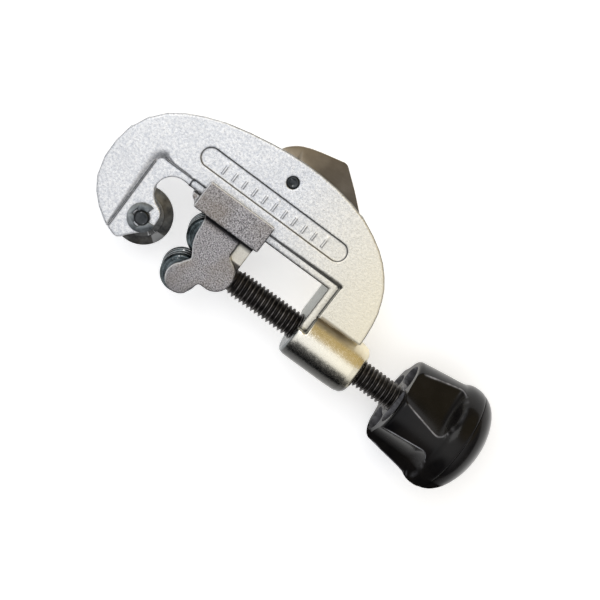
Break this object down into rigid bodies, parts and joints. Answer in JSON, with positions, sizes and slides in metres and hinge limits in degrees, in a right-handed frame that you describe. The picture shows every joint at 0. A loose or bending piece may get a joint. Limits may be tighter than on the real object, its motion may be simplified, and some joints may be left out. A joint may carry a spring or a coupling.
{
  "type": "tube cutter",
  "caption": "Screw-feed tube cutter: a C-shaped cast frame with a cutting wheel, a sliding roller carriage, a ribbed black knob and a reamer blade that folds into the spine.",
  "frame": {"origin": "the cutting point: where the cutting edge of the wheel meets the axis of the feed screw, half way through the thickness of the tool", "axes": "+X along the feed screw from the wheel to the knob; +Y from the screw to the spine; +Z out of the front flank, along the tube that is cut"},
  "size_m": [0.159, 0.073, 0.0392],
  "materials": {
    "cast_alloy": "bright satin casting with a fine grain",
    "wheel_steel": "ground and blackened tool steel",
    "pin_steel": "dark oiled steel",
    "clip_steel": "blackened spring steel",
    "slide_casting": "grainy grey casting",
    "roller_steel": "polished dark steel",
    "screw_steel": "black oxide with worn thread crests",
    "bright_steel": "bright ground steel",
    "knob_plastic": "glossy black moulding",
    "blade_steel": "flat ground steel with a brownish temper"
  },
  "bodies": {
    "frame": {"frame": "cast_alloy", "wheel_pin": "pin_steel", "wheel_pin_clip": "clip_steel", "reamer_pin": "pin_steel", "reamer_washers": "bright_steel"},
    "wheel": {"cutter_wheel": "wheel_steel"},
    "slide": {"slide_body": "slide_casting", "upper_roller_pin": "pin_steel", "lower_roller_pin": "pin_steel", "screw_retaining_pins": "bright_steel"},
    "upper_roller": {"upper_roller": "roller_steel"},
    "lower_roller": {"lower_roller": "roller_steel"},
    "screw": {"feed_screw": "screw_steel", "thrust_ball": "bright_steel", "knob": "knob_plastic", "knob_roll_pin": "bright_steel", "spare_wheel": "wheel_steel", "knob_end_cap": "knob_plastic"},
    "reamer": {"reamer_blade": "blade_steel"}
  },
  "joints": [
    {"name": "carriage_feed", "type": "slide", "parent": "frame", "child": "slide", "axis": [1, 0, 0], "range_m": [-0.0056, 0.0247]},
    {"name": "screw_turn", "type": "hinge", "parent": "slide", "child": "screw", "pos_m": [0, 0, 0], "axis": [1, 0, 0], "range_deg": [-1270, 5601.4]},
    {"name": "wheel_spin", "type": "hinge", "parent": "frame", "child": "wheel", "pos_m": [-0.01, 0, 0], "axis": [0, 0, 1], "continuous": true},
    {"name": "upper_roller_spin", "type": "hinge", "parent": "slide", "child": "upper_roller", "pos_m": [0.0106, 0.0073, 0], "axis": [0, 0, 1], "continuous": true},
    {"name": "lower_roller_spin", "type": "hinge", "parent": "slide", "child": "lower_roller", "pos_m": [0.0106, -0.0073, 0], "axis": [0, 0, 1], "continuous": true},
    {"name": "reamer_swing", "type": "hinge", "parent": "frame", "child": "reamer", "pos_m": [0.0223, 0.0385, 0], "axis": [0, 0, 1], "range_deg": [0, 90]}
  ],
  "couplings": [
    {"joint": "screw_turn", "follows": "carriage_feed", "rad_per_m": 3957.9}
  ]
}
